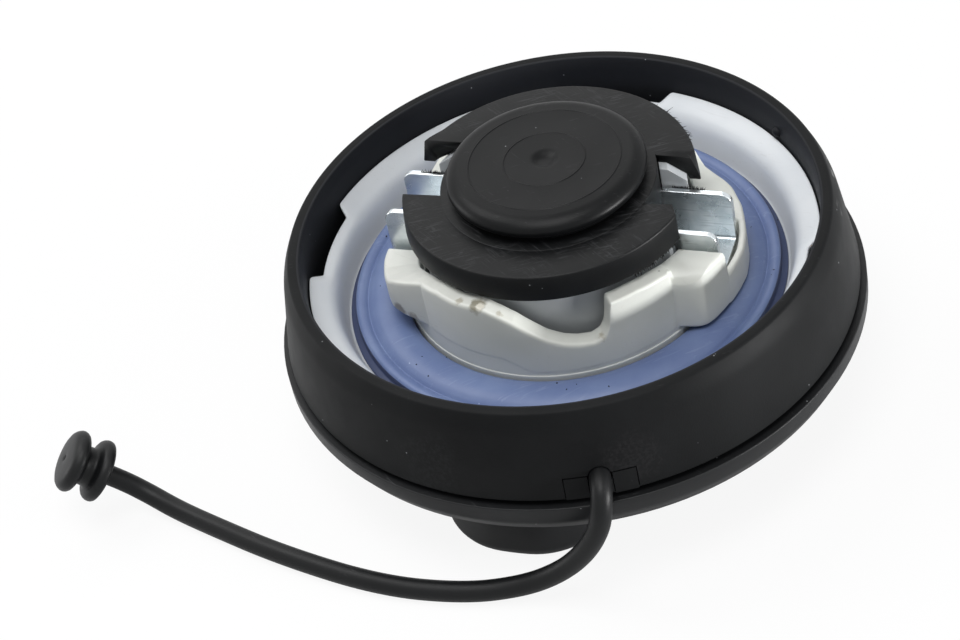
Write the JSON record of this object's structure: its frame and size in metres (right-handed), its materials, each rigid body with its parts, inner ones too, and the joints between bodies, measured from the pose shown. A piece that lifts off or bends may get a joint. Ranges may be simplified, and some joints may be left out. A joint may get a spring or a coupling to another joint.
{
  "type": "bayonet fuel filler cap",
  "caption": "Bayonet fuel filler cap with grip bar, rubber skirt, blue seal, cam sleeve, sprung steel lock bar, half-moon head, vent valves and a tether with plug.",
  "frame": {"origin": "middle of the flat of the grip bar, on the cap's axis; the cap stands upside down on this flat", "axes": "+Z along the cap's axis into the filler neck; X along the steel lock bar; Y along the grip bar"},
  "size_m": [0.1126, 0.09, 0.0416],
  "materials": {
    "cover_plastic": "moulded black, satin",
    "skirt_rubber": "moulded black rubber",
    "tether_plastic": "soft black moulding",
    "inner_plastic": "natural moulded plastic",
    "white_plastic": "translucent white, satin",
    "blue_rubber": "grey-blue seal rubber",
    "ivory_plastic": "ivory, satin",
    "head_plastic": "glass-filled black, swirled and scratched",
    "dome_plastic": "black, soft sheen",
    "plated_steel": "bright zinc plate",
    "spring_steel": "drawn wire"
  },
  "bodies": {
    "cover": {"grip_cover": "cover_plastic", "skirt_ring": "skirt_rubber", "tether_anchor": "tether_plastic", "tether": "tether_plastic", "tether_plug": "tether_plastic", "ratchet_ring": "inner_plastic"},
    "inner_unit": {"inner_dish": "white_plastic", "pawl_ring": "inner_plastic", "seal_ring": "blue_rubber", "cam_sleeve": "ivory_plastic", "core_barrel": "white_plastic", "barrel_o_ring": "skirt_rubber", "bayonet_head": "head_plastic", "valve_cap": "dome_plastic", "spring_retainer": "inner_plastic", "lock_spring": "spring_steel", "pressure_spring": "spring_steel"},
    "lock": {"lock_bar": "plated_steel"},
    "pressure_valve": {"pressure_plate": "inner_plastic", "valve_seal": "skirt_rubber", "vacuum_spring": "spring_steel"},
    "vacuum_valve": {"vacuum_poppet": "inner_plastic", "vacuum_clip": "inner_plastic"}
  },
  "joints": [
    {"name": "ratchet_turn", "type": "hinge", "parent": "cover", "child": "inner_unit", "pos_m": [0, 0, 0.02], "axis": [0, 0, 1], "continuous": true},
    {"name": "lock_bar_press", "type": "slide", "parent": "inner_unit", "child": "lock", "axis": [0, 0, -1], "range_m": [0, 0.002], "stiffness_N_per_m": 800, "springref_m": -0.002, "deforming": ["lock_spring"]},
    {"name": "pressure_relief", "type": "slide", "parent": "inner_unit", "child": "pressure_valve", "axis": [0, 0, -1], "range_m": [0, 0.0012], "stiffness_N_per_m": 300, "springref_m": -0.001, "deforming": ["pressure_spring"]},
    {"name": "vacuum_relief", "type": "slide", "parent": "pressure_valve", "child": "vacuum_valve", "axis": [0, 0, 1], "range_m": [0, 0.0008], "stiffness_N_per_m": 100, "springref_m": -0.0005, "deforming": ["vacuum_spring"]}
  ]
}
